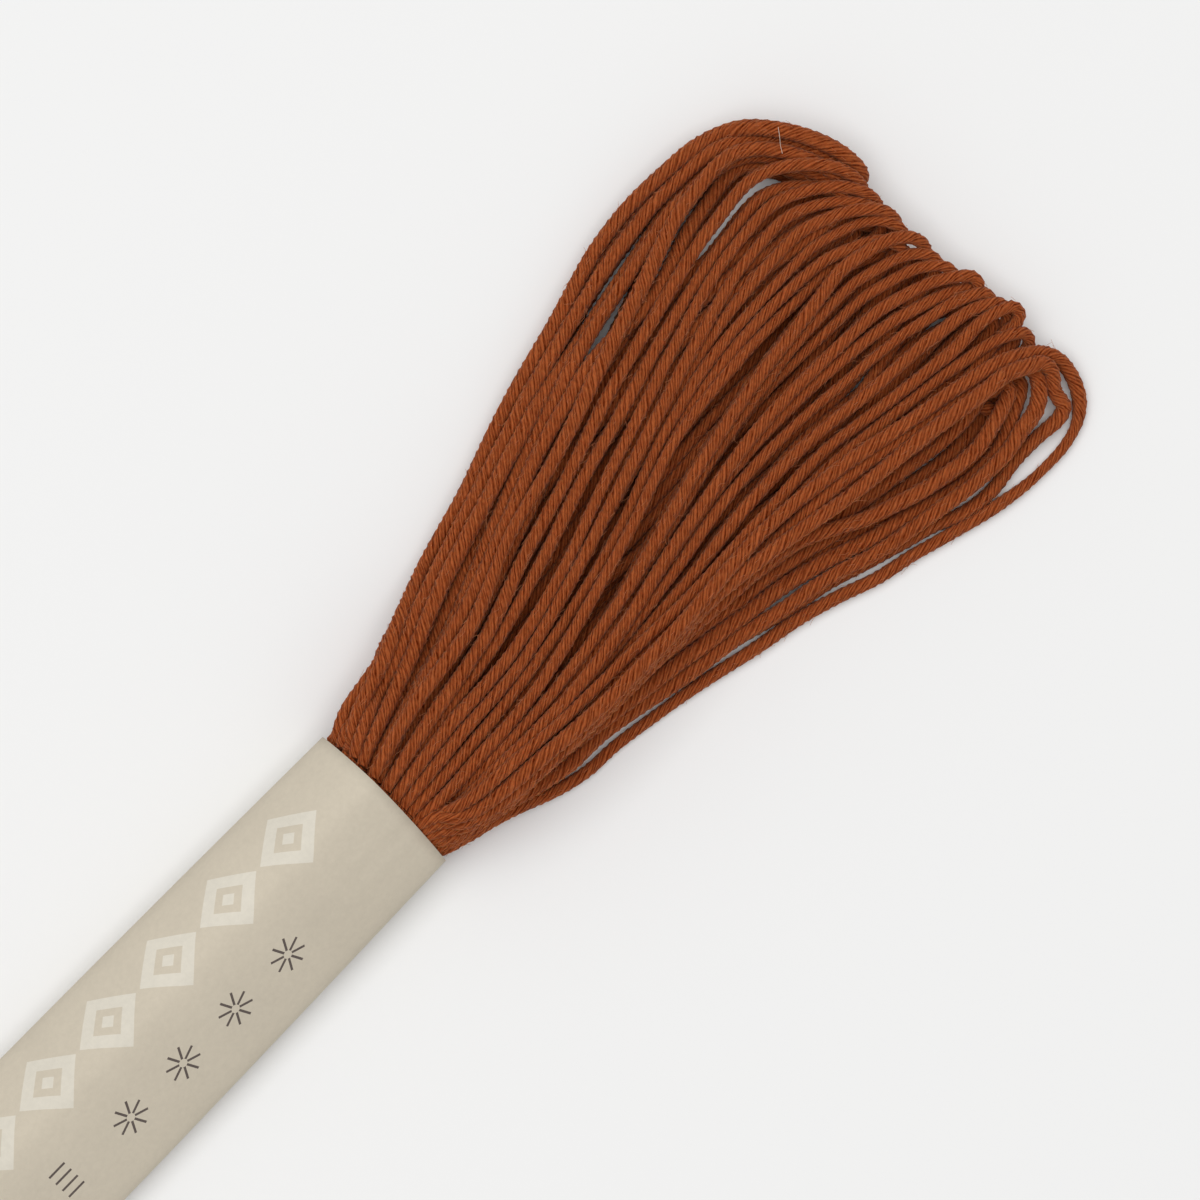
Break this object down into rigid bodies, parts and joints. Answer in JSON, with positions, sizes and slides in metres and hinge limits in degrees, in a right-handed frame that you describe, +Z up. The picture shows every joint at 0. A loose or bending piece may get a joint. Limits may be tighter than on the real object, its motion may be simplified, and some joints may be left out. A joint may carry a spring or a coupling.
{
  "type": "skein of embroidery floss",
  "caption": "Flat looped skein of rust cotton embroidery thread, gathered at its middle by a wrapped paper band and fanned out at its ends.",
  "frame": {"origin": "under the middle of the paper band, at the centre of the bounding box's bottom, on the surface the skein lies on", "axes": "+X along the skein towards one fan of loops, +Y to its left seen from above, +Z up out of the surface"},
  "size_m": [0.146, 0.0272, 0.0066],
  "materials": {
    "thread": "matt plied cotton thread, rust brown, slightly fuzzy",
    "paper": "uncoated matt paper, warm taupe, fine grain"
  },
  "bodies": {
    "root": {"hank": "thread", "paper_band": "paper"}
  },
  "joints": []
}
